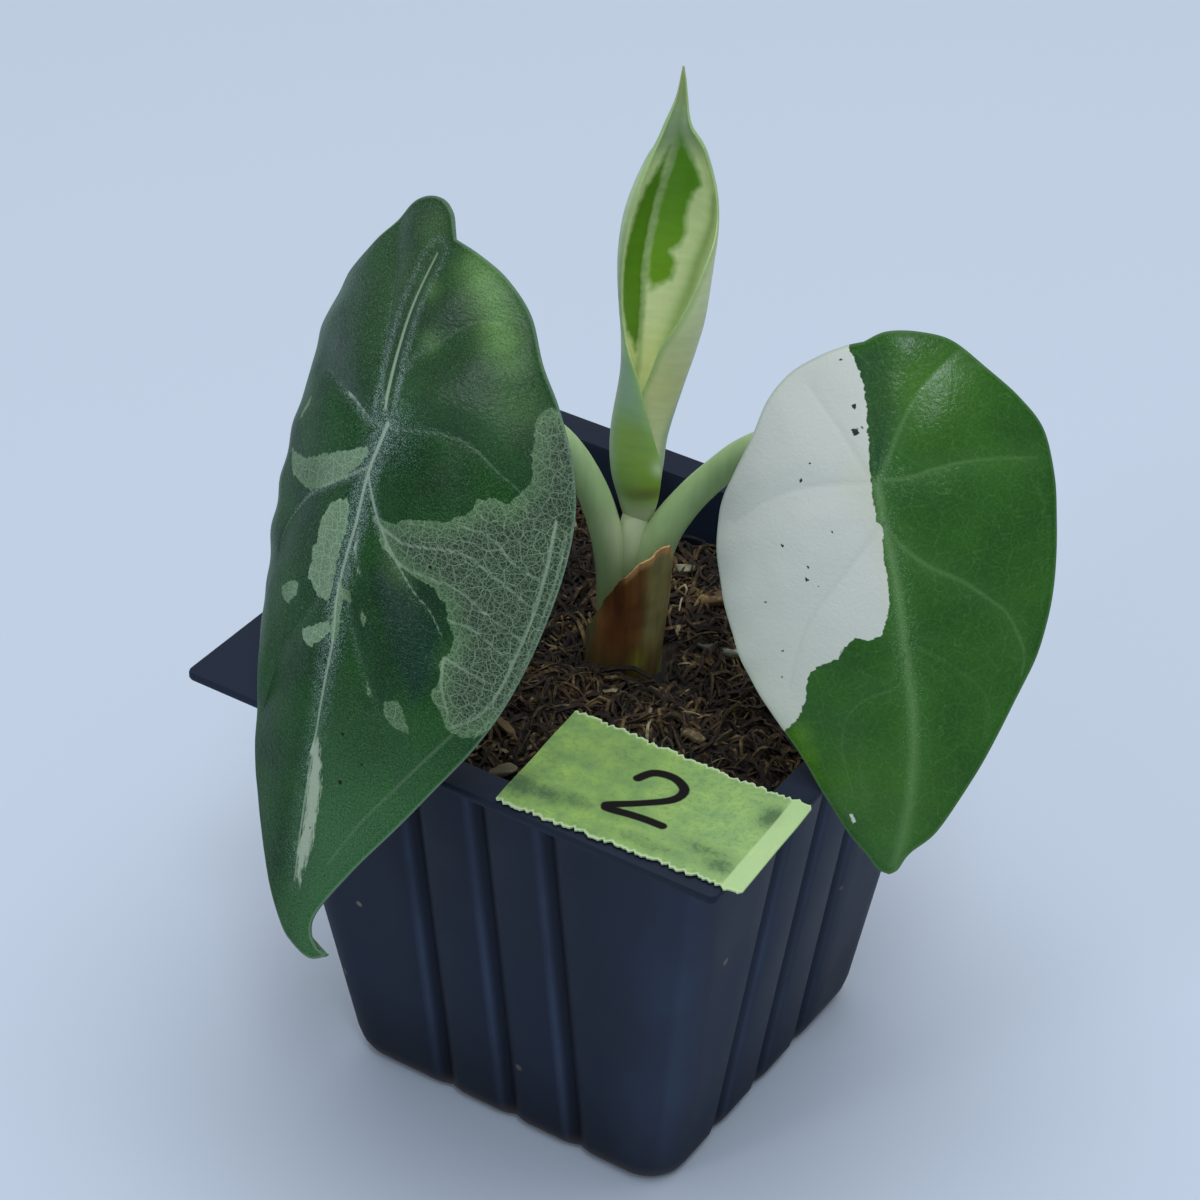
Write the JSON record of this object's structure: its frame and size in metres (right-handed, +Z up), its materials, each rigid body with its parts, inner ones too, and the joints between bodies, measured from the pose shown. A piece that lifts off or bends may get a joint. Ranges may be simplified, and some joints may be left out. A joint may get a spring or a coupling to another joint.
{
  "type": "potted maharani alocasia",
  "caption": "Small variegated aroid with shield-shaped leathery blades on arching stalks and a furled new leaf, rooted in moss in a square ribbed nursery pot with a tape label on its lip.",
  "frame": {"origin": "middle of the pot's flat foot, on the surface it stands on", "axes": "+Z up, -Y out of the pot side seen at the front left of the picture, +X out of the side seen at its front right"},
  "size_m": [0.0868, 0.0832, 0.1199],
  "materials": {
    "pot_plastic": "dark navy-black thermoformed plastic, satin",
    "dried_moss": "brown and ochre dried moss strands, matt",
    "rhizome_bark": "rough brown skin",
    "stalk_skin": "pale green, smooth, slightly translucent",
    "new_stalk_skin": "whitish green, smooth, slightly translucent",
    "dry_sheath": "papery orange-brown, thin and dry",
    "dark_blade": "dark green with silvery net and pale grey-green patches, satin",
    "green_blade": "mid green with one half creamy white, glossy",
    "new_blade": "pale yellow-green and cream with green bands, satin",
    "paper_tape": "mottled yellow-green crepe paper, matt, with a plain hand-drawn numeral"
  },
  "bodies": {
    "root": {"pot": "pot_plastic", "moss": "dried_moss", "rhizome": "rhizome_bark", "stalk_left": "stalk_skin", "stalk_right": "stalk_skin", "stalk_new": "new_stalk_skin", "sheath": "dry_sheath", "blade_left": "dark_blade", "blade_right": "green_blade", "blade_new": "new_blade", "tape": "paper_tape"}
  },
  "joints": []
}
